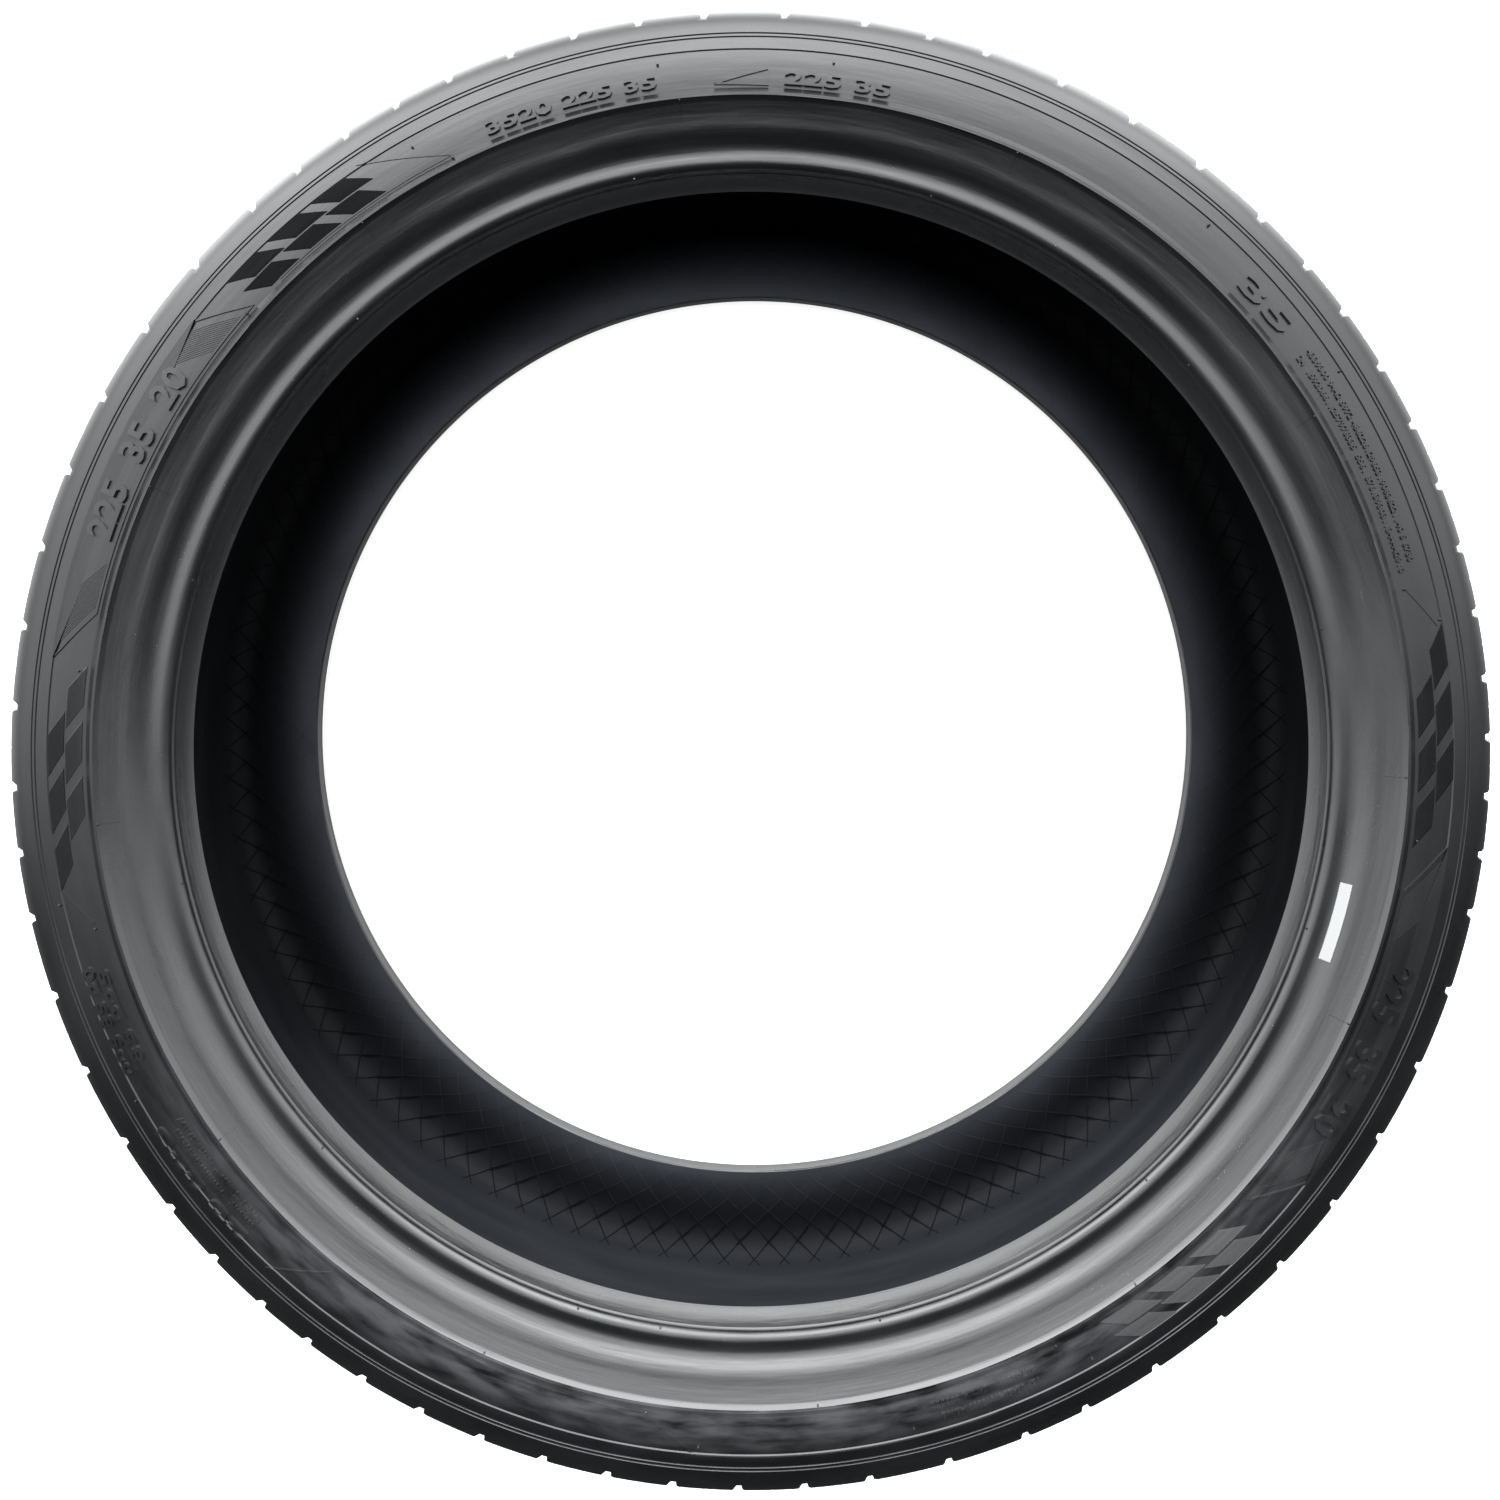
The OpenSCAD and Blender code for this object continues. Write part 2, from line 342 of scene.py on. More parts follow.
def spun(name, outline, steps):
    """A closed outline (r, z) turned once around the wheel axis."""
    obj = ring_of(name, [Vector((r, 0, z)) * MM for r, z in outline], filled=False)
    edit(obj)
    bpy.ops.mesh.spin(steps=steps, angle=2 * math.pi, center=(0, 0, 0), axis=(0, 0, 1))
    bpy.ops.mesh.select_all(action="SELECT")
    bpy.ops.mesh.remove_doubles(threshold=SEAM_MERGE * MM)
    bpy.ops.mesh.normals_make_consistent(inside=False)
    close_edit()
    return obj


def prism(name, outline, direction):
    """A filled outline, in metres, drawn out along a direction."""
    obj = ring_of(name, outline, filled=True)
    edit(obj)
    bpy.ops.mesh.extrude_region_move(TRANSFORM_OT_translate={"value": direction})
    bpy.ops.mesh.select_all(action="SELECT")
    bpy.ops.mesh.normals_make_consistent(inside=False)
    close_edit()
    return obj


def copy_of(obj, matrix):
    """A copy with its own mesh, moved by a matrix."""
    twin = obj.copy()
    twin.data = obj.data.copy()
    twin.data.transform(matrix)
    if matrix.determinant() < 0:
        twin.data.flip_normals()
    bpy.context.collection.objects.link(twin)
    return twin


def joined(name, objects):
    """One object made of all these."""
    pick(*objects)
    if len(objects) > 1:
        bpy.ops.object.join()
    obj = bpy.context.object
    obj.name = name
    obj.data.name = name
    return obj


def combine(obj, tool, operation):
    """Cuts, adds or intersects with a tool object, which is then deleted."""
    pick(obj)
    change = obj.modifiers.new(operation.lower(), "BOOLEAN")
    change.operation = operation
    change.solver = "MANIFOLD"
    change.object = tool
    bpy.ops.object.modifier_apply(modifier=change.name)
    bpy.data.objects.remove(tool)
    return obj


def smooth(obj, angle):
    """Shades an object smooth, apart from edges sharper than an angle in degrees."""
    pick(obj)
    bpy.ops.object.shade_smooth_by_angle(angle=math.radians(angle))


def turned(clock_angle):
    """Turns a piece modelled at +X to a clock angle."""
    return Matrix.Rotation(math.radians(90 - clock_angle), 4, "Z")


FLIP = Matrix.Scale(-1, 4, (0, 0, 1))


def pitch_angles():
    """Clock angle of each pitch's start, and of its middle."""
    lengths = [PITCH_LENGTHS[c] for c in PITCH_ORDER]
    degrees = 360 / sum(lengths)
    angles = []
    along = 0.0
    for length in lengths:
        start = FIRST_PITCH + degrees * along
        angles.append((start, start + degrees * length / 2))
        along += length
    return angles


ARM_IN_Z = INNER_GROOVE[1] + 5
ARM_OUT_Z = CROWN_END_Z - 2
ARM_FLOOR_R = OUTER_R - ARM_DEPTH
PAST_SHOULDER = 24
OVER_TREAD = 12


def arm_at(t):
    """Offset of a cross groove along the tread, at its share of the way to the shoulder."""
    return ARM_SWEEP * (1 - t) ** 2


def arm_side(side, steps):
    """One side of a cross groove, as points (along, z)."""
    points = []
    for i in range(steps + 1):
        t = i / steps
        width = (ARM_TIP_W + (ARM_W - ARM_TIP_W) * t) * (1 + ARM_TIP_FLARE * (1 - t))
        points.append((arm_at(t) + side * width / 2, ARM_IN_Z + (ARM_OUT_Z - ARM_IN_Z) * t))
    return points


def cutter(name, floor_r, plan):
    """A cutter that sinks a plan (along, z) down to a floor, at the +X side."""
    outline = [Vector((floor_r, s, z)) * MM for s, z in plan]
    return prism(name, outline, (OVER_TREAD * MM, 0, 0))


def cross_groove_cutter():
    """A swept cross groove, with the notch where it leaves the shoulder."""
    end_z = ARM_OUT_Z + PAST_SHOULDER
    end = [(ARM_W / 2, end_z), (-ARM_W / 2, end_z)]
    plan = arm_side(1, ARM_STEPS) + end + arm_side(-1, ARM_STEPS)[::-1]
    arm = cutter("cross_groove", ARM_FLOOR_R, plan)
    return combine(arm, notch_cutter(), "UNION")


def notch_cutter():
    """A straight cut along the shoulder's slope, where a cross groove leaves it."""
    low = SHOULDER_R - NOTCH_DEPTH
    top = SHOULDER_R + 1
    corners = [
        (low, NOTCH_W / 2),
        (low, -NOTCH_W / 2),
        (top, -NOTCH_W / 2 - NOTCH_CHAMFER),
        (top, NOTCH_W / 2 + NOTCH_LEAN),
    ]
    out = Vector((math.cos(NOTCH_A), 0, math.sin(NOTCH_A)))
    along = Vector((-math.sin(NOTCH_A), 0, math.cos(NOTCH_A)))
    start = Vector((SHOULDER_AT[0], 0, SHOULDER_AT[1])) - NOTCH_REACH * along
    outline = [(start + d * out + Vector((0, s, 0))) * MM for d, s in corners]
    return prism("notch", outline, 2 * NOTCH_REACH * MM * along)


def sipe_cutter():
    """A fine cut between two cross grooves, a little shallower than they are."""
    in_z = OUTER_GROOVE[1] + SIPE_GAP
    in_s = arm_at((in_z - ARM_IN_Z) / (ARM_OUT_Z - ARM_IN_Z))
    bend_z = CROWN_END_Z - SIPE_STRAIGHT
    end_z = ARM_OUT_Z + PAST_SHOULDER
    half = SIPE_W / 2
    plan = [
        (in_s - half, in_z),
        (in_s + half, in_z),
        (half, bend_z),
        (half, end_z),
        (-half, end_z),
        (-half, bend_z),
    ]
    return cutter("sipe", ARM_FLOOR_R + 1, plan)


def tread_cutters():
    """All the cross grooves and fine cuts of both halves of the tread."""
    groove = cross_groove_cutter()
    sipe = sipe_cutter()
    made = [groove, sipe]
    cuts = []
    for start, middle in pitch_angles():
        cuts.append(copy_of(groove, turned(start)))
        cuts.append(copy_of(sipe, turned(middle)))
        cuts.append(copy_of(groove, FLIP @ turned(start + FAR_HALF_TURN)))
        cuts.append(copy_of(sipe, FLIP @ turned(middle + FAR_HALF_TURN)))
    for obj in made:
        bpy.data.objects.remove(obj)
    return joined("tread_cutters", cuts)


def wear_bar(from_z, to_z, along):
    """A low bar across a groove that runs around, at the +X side."""
    low = OUTER_R - TREAD_DEPTH - 1
    high = OUTER_R - TREAD_DEPTH + WEAR_BAR_H
    side = 0.3
    corners = [(low, from_z + side), (high, from_z + side), (high, to_z - side), (low, to_z - side)]
    outline = [Vector((r, along - WEAR_BAR_L / 2, z)) * MM for r, z in corners]
    return prism("wear_bar", outline, (0, WEAR_BAR_L * MM, 0))


def wear_bars():
    """The wear bars of both halves, each midway between two cross grooves."""
    middle_z = (OUTER_GROOVE[0] + OUTER_GROOVE[1]) / 2
    along = arm_at((middle_z - ARM_IN_Z) / (ARM_OUT_Z - ARM_IN_Z))
    pair = [wear_bar(*INNER_GROOVE, along), wear_bar(*OUTER_GROOVE, along)]
    angles = pitch_angles()
    bars = []
    for k in range(WEAR_BARS):
        middle = angles[k * len(angles) // WEAR_BARS][1]
        for bar in pair:
            bars.append(copy_of(bar, turned(middle)))
            bars.append(copy_of(bar, FLIP @ turned(middle + FAR_HALF_TURN)))
    for bar in pair:
        bpy.data.objects.remove(bar)
    return joined("wear_bars", bars)


def linear(hex_colour):
    """The linear colour of an sRGB hex value."""
    values = [int(hex_colour[i : i + 2], 16) / 255 for i in (1, 3, 5)]
    return tuple(v / 12.92 if v <= 0.04045 else ((v + 0.055) / 1.055) ** 2.4 for v in values) + (1.0,)


def add_node(tree, kind, inputs=None, **settings):
    """Adds a node, sets its properties and its inputs. An input given as a socket is linked."""
    node = tree.nodes.new(kind)
    for key, value in settings.items():
        setattr(node, key, value)
    for key, value in (inputs or {}).items():
        if isinstance(value, bpy.types.NodeSocket):
            tree.links.new(value, node.inputs[key])
        else:
            node.inputs[key].default_value = value
    return node


def new_tree(block):
    """The node tree of a material or a world, emptied."""
    block.use_nodes = True
    block.node_tree.nodes.clear()
    return block.node_tree


def around_tyre(tree, stretch_r):
    """A seamless vector for patterns that are drawn out around the tyre.

    Its X and Y go round a circle of radius stretch_r, its Z is radius plus height: the smaller
    the circle, the longer the pattern's marks around the tyre.
    """
    here = add_node(tree, "ShaderNodeTexCoord").outputs["Object"]
    flat = add_node(tree, "ShaderNodeVectorMath", {0: here, 1: (1, 1, 0)}, operation="MULTIPLY")
    radius = add_node(tree, "ShaderNodeVectorMath", {0: flat.outputs[0]}, operation="LENGTH")
    way = add_node(tree, "ShaderNodeVectorMath", {0: flat.outputs[0]}, operation="NORMALIZE")
    circle = add_node(
        tree, "ShaderNodeVectorMath", {0: way.outputs[0], "Scale": stretch_r * MM}, operation="SCALE"
    )
    height = add_node(tree, "ShaderNodeSeparateXYZ", {0: here}).outputs["Z"]
    across = add_node(
        tree, "ShaderNodeMath", {0: radius.outputs["Value"], 1: height}, operation="ADD"
    ).outputs[0]
    rise = add_node(tree, "ShaderNodeCombineXYZ", {"Z": across}).outputs[0]
    return add_node(
        tree, "ShaderNodeVectorMath", {0: circle.outputs[0], 1: rise}, operation="ADD"
    ).outputs[0]


def noise(tree, vector, size_mm, detail=2.0):
    """Noise from 0 to 1 whose marks are about this many millimetres long."""
    settings = {"Vector": vector, "Scale": 1 / (size_mm * MM), "Detail": detail}
    return add_node(tree, "ShaderNodeTexNoise", settings).outputs["Fac"]


def mapped(tree, value, low, high, to_low, to_high):
    """A value carried from one range to another, held at its ends."""
    settings = {"Value": value, "From Min": low, "From Max": high, "To Min": to_low, "To Max": to_high}
    return add_node(tree, "ShaderNodeMapRange", settings).outputs["Result"]


def mixed(tree, factor, colour_a, colour_b):
    """A colour between two, by a factor."""
    node = add_node(tree, "ShaderNodeMix", data_type="RGBA")
    tree.links.new(factor, node.inputs["Factor"])
    for socket, value in ((node.inputs[6], colour_a), (node.inputs[7], colour_b)):
        if isinstance(value, bpy.types.NodeSocket):
            tree.links.new(value, socket)
        else:
            socket.default_value = value
    return node.outputs[2]


def bumped(tree, height, depth_mm, normal=None):
    """A surface normal from a height pattern of this depth."""
    inputs = {"Height": height, "Distance": depth_mm * MM, "Strength": 1.0}
    if normal is not None:
        inputs["Normal"] = normal
    return add_node(tree, "ShaderNodeBump", inputs).outputs["Normal"]


# Grey scuff marks and painted sheen: how far they reach out from the rim protector's edge, and where
# along Y they begin and are full. They lie on the -Y side only: partly real scuff marks and dust,
# partly a painted sheen
STREAK = 5
SCUFF_SHEEN_REACH = (2, 24)
SCUFF_SHEEN_Y = (-120, -260)


def scuffs_and_painted_sheen(tree, colour, drawn):
    """Grey streaks on the -Y side, thickest beside the rim protector: partly scuff marks and dried
    dust, partly a painted sheen that lightens that side.
    """
    streaks = noise(tree, drawn, STREAK, 6.0)
    here = add_node(tree, "ShaderNodeTexCoord").outputs["Object"]
    flat = add_node(tree, "ShaderNodeVectorMath", {0: here, 1: (1, 1, 0)}, operation="MULTIPLY")
    radius = add_node(tree, "ShaderNodeVectorMath", {0: flat.outputs[0]}, operation="LENGTH")
    full_r, last_r = (EDGE_R + reach for reach in SCUFF_SHEEN_REACH)
    near = mapped(tree, radius.outputs["Value"], last_r * MM, full_r * MM, 0.0, 1.0)
    share = mapped(tree, streaks, 0.34, 0.64, 0.0, 1.0)
    along = add_node(tree, "ShaderNodeSeparateXYZ", {0: here}).outputs["Y"]
    side = mapped(tree, along, SCUFF_SHEEN_Y[0] * MM, SCUFF_SHEEN_Y[1] * MM, 0.0, 1.0)
    scuff_and_sheen_share = add_node(tree, "ShaderNodeMath", {0: near, 1: side}, operation="MULTIPLY").outputs[0]
    # Painted sheen: the grey streaks are held to the -Y side, where they lighten the rubber as light
    # would
    factor = add_node(tree, "ShaderNodeMath", {0: scuff_and_sheen_share, 1: share}, operation="MULTIPLY").outputs[0]
    return mixed(tree, factor, colour, linear("#47484a"))


# Heights between which the grey film of the liner's crown gives way to darker liner inside the
# sidewalls, partly bare dark rubber and partly painted shade
FILM_AND_SHADE_ENDS_Z = (84, 96)


def film_and_painted_shade(tree, colour):
    """Darker liner inside the sidewalls, partly bare dark rubber and partly painted shade where the
    sidewalls hide it from the light; the mould agent's grey film lies on the crown.
    """
    here = add_node(tree, "ShaderNodeTexCoord").outputs["Object"]
    height = add_node(tree, "ShaderNodeSeparateXYZ", {0: here}).outputs["Z"]
    level = add_node(tree, "ShaderNodeMath", {0: height}, operation="ABSOLUTE").outputs[0]
    share = mapped(tree, level, FILM_AND_SHADE_ENDS_Z[0] * MM, FILM_AND_SHADE_ENDS_Z[1] * MM, 0.0, 1.0)
    # Painted shade: the liner inside the sidewalls is darkened where the cavity lies in shade
    return mixed(tree, share, colour, linear("#1c1e22"))


# Rubber: bloom lies in patches 14 mm across, drawn out about five times as long around the tyre.
# The lathe's rings in the steel mould are 3 mm apart, and far longer still. Real moulded grain is
# about 0.1 mm, and is drawn as coarse as it needs to show.
PATCH = 14
PATCH_DRAWN_R = 60
LATHE_MARK = 3.0
LATHE_DRAWN_R = 8
LATHE_DEPTH = 0.15
GRAIN = 0.9
GRAIN_DEPTH = 0.03


def moulded_rubber(
    name, dark, bloom, roughness, wave_mm, ior, specular, coat, scuff_and_sheen=False, painted_shade_sides=False
):
    """Cured tyre rubber: carbon black with a faint bloom, and the satin of the steel mould.

    The coat is the thin film of wax and mould agent that gives a new tyre its broad soft shine.
    """
    material = bpy.data.materials.new(name)
    tree = new_tree(material)
    drawn = around_tyre(tree, PATCH_DRAWN_R)
    here = add_node(tree, "ShaderNodeTexCoord").outputs["Object"]
    patches = noise(tree, drawn, PATCH, 3.0)
    grain = noise(tree, here, GRAIN, 2.0)
    lathe = noise(tree, around_tyre(tree, LATHE_DRAWN_R), LATHE_MARK, 3.0)
    colour = mixed(tree, mapped(tree, patches, 0.4, 0.75, 0, 1), linear(dark), linear(bloom))
    if scuff_and_sheen:
        colour = scuffs_and_painted_sheen(tree, colour, drawn)
    if painted_shade_sides:
        colour = film_and_painted_shade(tree, colour)
    gloss = mapped(tree, patches, 0.3, 0.7, roughness[0], roughness[1])
    normal = bumped(tree, patches, wave_mm)
    normal = bumped(tree, lathe, LATHE_DEPTH, normal)
    normal = bumped(tree, grain, GRAIN_DEPTH, normal)
    shader = add_node(
        tree,
        "ShaderNodeBsdfPrincipled",
        {
            "Base Color": colour,
            "Roughness": gloss,
            "IOR": ior,
            "Specular IOR Level": specular,
            "Coat Weight": coat,
            "Coat Roughness": 0.3,
            "Coat IOR": 1.6,
            "Normal": normal,
        },
    )
    add_node(tree, "ShaderNodeOutputMaterial", {"Surface": shader.outputs[0]})
    return material


def white_rays(tree):
    """1 for the camera's rays and for those that come to it through something clear."""
    path = add_node(tree, "ShaderNodeLightPath")
    camera, clear = path.outputs["Is Camera Ray"], path.outputs["Is Transmission Ray"]
    return add_node(tree, "ShaderNodeMath", {0: camera, 1: clear}, operation="MAXIMUM").outputs[0]


FLOOR_Z = -EDGE_Z
FLOOR_SIZE = 12000
FLOOR_GLOW = 0.92
MIRROR_ROUGHNESS = 0.25


def studio_floor():
    """A plain white floor that keeps the tyre's shadow and mirrors the sky to glossy rubber.

    The mirror gives the rubber the dark ground that it shows in the photo.
    """
    deselect()
    bpy.ops.mesh.primitive_plane_add(size=FLOOR_SIZE * MM, location=(0, 0, 0))
    floor = bpy.context.object
    floor.name = "studio_floor"
    floor.data.transform(Matrix.Translation((0, 0, FLOOR_Z * MM)))
    material = bpy.data.materials.new("white_acrylic_floor")
    tree = new_tree(material)
    lit = add_node(tree, "ShaderNodeBsdfDiffuse", {"Color": linear("#b4b4b4")})
    glow = add_node(tree, "ShaderNodeEmission", {"Color": (1, 1, 1, 1), "Strength": FLOOR_GLOW})
    seen = add_node(tree, "ShaderNodeAddShader", {0: lit.outputs[0], 1: glow.outputs[0]})
    plain = add_node(
        tree, "ShaderNodeMixShader", {0: white_rays(tree), 1: lit.outputs[0], 2: seen.outputs[0]}
    )
    mirror = add_node(
        tree,
        "ShaderNodeBsdfAnisotropic",
        {"Color": (0.95, 0.95, 0.95, 1), "Roughness": MIRROR_ROUGHNESS},
    )
    glossy = add_node(tree, "ShaderNodeLightPath").outputs["Is Glossy Ray"]
    either = add_node(
        tree, "ShaderNodeMixShader", {0: glossy, 1: plain.outputs[0], 2: mirror.outputs[0]}
    )
    add_node(tree, "ShaderNodeOutputMaterial", {"Surface": either.outputs[0]})
    floor.data.materials.append(material)


# Brightness of the studio's sky by direction: from the dark end at -Y to the bright end at +Y
SKY_SIDE = -0.12
SKY_STOPS = (
    (-1.0, 0.01),
    (-0.45, 0.02),
    (-0.2, 0.06),
    (-0.06, 0.16),
    (0.06, 0.75),
    (0.25, 0.9),
    (0.45, 1.05),
    (0.6, 1.9),
    (0.72, 3.1),
    (0.85, 3.2),
    (1.0, 1.5),
)
SKY_TOP = 3.2
# The sky is dimmer near the horizon, and full above this height on a unit sphere
HORIZON_SHARE = 0.45
HORIZON_UP = (0.05, 0.4)
# The dark end is a little colder
COLD = 0.25


def studio_sky():
    """A soft sky that is bright on the +Y side, and white where the camera looks past the floor."""
    world = bpy.data.worlds.new("studio_sky")
    bpy.context.scene.world = world
    tree = new_tree(world)
    way = add_node(tree, "ShaderNodeTexCoord").outputs["Generated"]
    toward = add_node(
        tree, "ShaderNodeVectorMath", {0: way, 1: (SKY_SIDE, 1, 0)}, operation="DOT_PRODUCT"
    ).outputs["Value"]
    ramp = add_node(tree, "ShaderNodeValToRGB", {"Fac": mapped(tree, toward, -1, 1, 0, 1)})
    ramp.color_ramp.interpolation = "B_SPLINE"
    elements = ramp.color_ramp.elements
    for at, _ in SKY_STOPS[1:-1]:
        elements.new((at + 1) / 2)
    for element, (at, level) in zip(elements, SKY_STOPS):
        share = level / SKY_TOP
        cold = COLD * max(0.0, -at)
        element.color = (share * (0.96 - cold), share * 0.98, share * (1 + cold), 1)
    up = add_node(tree, "ShaderNodeSeparateXYZ", {0: way}).outputs["Z"]
    strength = mapped(tree, up, *HORIZON_UP, HORIZON_SHARE * SKY_TOP, SKY_TOP)
    sky = add_node(tree, "ShaderNodeBackground", {"Color": ramp.outputs["Color"], "Strength": strength})
    white = add_node(tree, "ShaderNodeBackground", {"Color": (1, 1, 1, 1), "Strength": 1.0})
    both = add_node(
        tree, "ShaderNodeMixShader", {0: white_rays(tree), 1: sky.outputs[0], 2: white.outputs[0]}
    )
    add_node(tree, "ShaderNodeOutputWorld", {"Surface": both.outputs[0]})


# The camera, in millimetres and in pixels of the photo
CAMERA_AT = (6.2, 31.0, 678.6)
FOCAL_PX = 1308
IMAGE_PX = 1500
SENSOR_W = 36.0
# How far right of and above the picture's middle the point straight below the camera lies
FRAME_SHIFT_PX = (14.7, 69.0)


# Width of the lamps' discs, in metres as their places are
LAMP_SIZE = 1.2


def soft_lamp(name, at, watts):
    """A soft lamp that faces the tyre, reaches into the hollow and leaves no highlight."""
    data = bpy.data.lights.new(name, "AREA")
    data.shape = "DISK"
    data.size = LAMP_SIZE
    data.energy = watts
    lamp = bpy.data.objects.new(name, data)
    bpy.context.collection.objects.link(lamp)
    lamp.location = at
    lamp.rotation_euler = Vector(at).to_track_quat("Z", "Y").to_euler()
    lamp.visible_glossy = False
    lamp.visible_camera = False


def look_down():
    """A camera that looks straight down, with +Y at the top of the picture."""
    data = bpy.data.cameras.new("camera")
    data.sensor_width = SENSOR_W
    data.lens = SENSOR_W * FOCAL_PX / IMAGE_PX
    data.shift_x = -FRAME_SHIFT_PX[0] / IMAGE_PX
    data.shift_y = -FRAME_SHIFT_PX[1] / IMAGE_PX
    data.clip_start = 0.05
    camera = bpy.data.objects.new("camera", data)
    bpy.context.collection.objects.link(camera)
    camera.location = Vector(CAMERA_AT) * MM
    bpy.context.scene.camera = camera


def body_rubbers():
    """The three rubbers of the body, in the order that rubber_at numbers them."""
    # Tread and sidewall compound: black, with a satin shine, and grey scuff marks that also paint a
    # sheen on its -Y side
    sidewall = moulded_rubber(
        "sidewall_rubber",
        dark="#090a0b",
        bloom="#101113",
        roughness=(0.26, 0.38),
        wave_mm=0.6,
        ior=1.7,
        specular=0.9,
        coat=0.8,
        scuff_and_sheen=True,
    )
    # Hard bead compound off polished mould rings: as black, with the clearest bands of light
    bead = moulded_rubber(
        "bead_rubber",
        dark="#090a0b",
        bloom="#0e0f10",
        roughness=(0.24, 0.36),
        wave_mm=0.6,
        ior=1.9,
        specular=1.0,
        coat=1.0,
    )
    # Liner pressed by the curing bladder: dull and greyer, with no coat, and darker inside the
    # sidewalls with painted shade
    liner = moulded_rubber(
        "liner_rubber",
        dark="#27292d",
        bloom="#303237",
        roughness=(0.6, 0.75),
        wave_mm=0.2,
        ior=1.5,
        specular=0.4,
        coat=0.0,
        painted_shade_sides=True,
    )
    return sidewall, bead, liner


def tyre_body():
    """The whole tyre in one piece: turned section, wear bars, cross grooves and fine cuts."""
    body = spun("tyre_body", OUTLINE, steps=390)
    combine(body, wear_bars(), "UNION")
    combine(body, tread_cutters(), "DIFFERENCE")
    smooth(body, 32)
    body.data.materials.clear()
    rubbers = body_rubbers()
    for material in rubbers:
        body.data.materials.append(material)
    for face in body.data.polygons:
        face.material_index = rubber_at(face.center / MM)
    return body, rubbers


def rubber_at(point):
    """Which of the three rubbers a point of the body is made of: sidewall, bead or liner."""
    r = math.hypot(point.x, point.y)
    z = abs(point.z)
    if r < LINER_R + 1 and z < min(LINER_WIDE_Z + 1, liner_height(r)):
        return 2
    return 1 if r < EDGE_R - HALF_EDGE else 0


def liner_height(r):
    """Height just above the liner's surface at a radius."""
    for (r0, z0), (r1, z1) in zip(LINER, LINER[1:]):
        if r0 <= r <= r1:
            return z0 + (z1 - z0) * (r - r0) / (r1 - r0) + 1.0
    return LINER_WIDE_Z if r > BORE_R + 1 else TOE_Z


# Sidewall relief. It is drawn flat, with X as the length along a circle of radius 300, clockwise
# from +Y, Y as the radius and Z as the height, and is then laid onto the moulded surface.
# ALONG is the length of one degree, and SUNK is how deep each shape starts under the surface.
ALONG = math.radians(1) * 300
SUNK = 0.3
RIDGE_STEP = 5
FIGURE_BOLD = 0.025


def raised(name, corners, height):
    """A flat plate from (clock angle, radius) corners, sunk a little into the surface."""
    outline = [Vector((a * ALONG, r, -SUNK)) * MM for a, r in corners]
    return prism(name, outline, (0, 0, (height + SUNK) * MM))


def stepped(points, step):
    """A polyline with more points, none further apart than a step."""
    out = [points[0]]
    for p, q in zip(points, points[1:]):
        parts = max(1, math.ceil((q - p).length / step))
        out += [p.lerp(q, k / parts) for k in range(1, parts + 1)]
    return out


def ridge(points, width, height):
    """A thin raised line through (clock angle, radius) points."""
    path = stepped([Vector((a * ALONG, r)) for a, r in points], RIDGE_STEP)
    left, right = [], []
    for k, p in enumerate(path):
        way = (path[min(k + 1, len(path) - 1)] - path[max(k - 1, 0)]).normalized()
        side = Vector((-way.y, way.x)) * width / 2
        left.append(p + side)
        right.append(p - side)
    outline = [Vector((p.x, p.y, -SUNK)) * MM for p in left + right[::-1]]
    return prism("ridge", outline, (0, 0, (height + SUNK) * MM))


def figures(text, from_a, to_a, low_r, high_r, height):
    """Plain raised figures that fill a field between two clock angles and two radii."""
    deselect()
    bpy.ops.object.text_add(location=(0, 0, 0))
    obj = bpy.context.object
    obj.data.body = text
    obj.data.resolution_u = 2
    obj.data.offset = FIGURE_BOLD
    obj.data.extrude = 0.5
    bpy.ops.object.convert(target="MESH")
    obj = bpy.context.object
    xs = [v.co.x for v in obj.data.vertices]
    ys = [v.co.y for v in obj.data.vertices]
    wide = (to_a - from_a) * ALONG / (max(xs) - min(xs))
    tall = (high_r - low_r) / (max(ys) - min(ys))
    for v in obj.data.vertices:
        x = from_a * ALONG + (v.co.x - min(xs)) * wide
        y = low_r + (v.co.y - min(ys)) * tall
        v.co = Vector((x, y, height if v.co.z > 0 else -SUNK)) * MM
    edit(obj)
    bpy.ops.mesh.remove_doubles(threshold=0.01 * MM)
    close_edit()
    return obj


def laid(name, flat):
    """Flat pieces joined, cut where the surface bends and laid onto the upper sidewall."""
    clear = 0.05
    obj = joined(name, flat)
    low = min(v.co.y for v in obj.data.vertices) / MM
    high = max(v.co.y for v in obj.data.vertices) / MM
    edit(obj)
    for r in sorted({round(p[0], 3) for p in OUTSIDE}):
        if low + clear < r < high - clear:
            bpy.ops.mesh.select_all(action="SELECT")
            bpy.ops.mesh.bisect(plane_co=(0, r * MM, 0), plane_no=(0, 1, 0))
    bpy.ops.mesh.select_all(action="SELECT")
    bpy.ops.mesh.normals_make_consistent(inside=False)
    close_edit()
    for v in obj.data.vertices:
        x, r, h = v.co / MM
        v.co = place(x / ALONG, r, surface_at(r) + h)
    return obj


def slanted(from_a, to_a, low_r, high_r, lean):
    """Corners of a slanted field, its outer side ahead by an angle."""
    return [(from_a, low_r), (to_a, low_r), (to_a + lean, high_r), (from_a + lean, high_r)]


# The lettered band, and how far a slanted line leans back across it, in degrees
BAND_IN = 290.6
BAND_OUT = 306.4
LEAN = -4.2
HATCH_PITCH = 1.5
HATCH_SHARE = 0.45
HATCH_H = 0.22


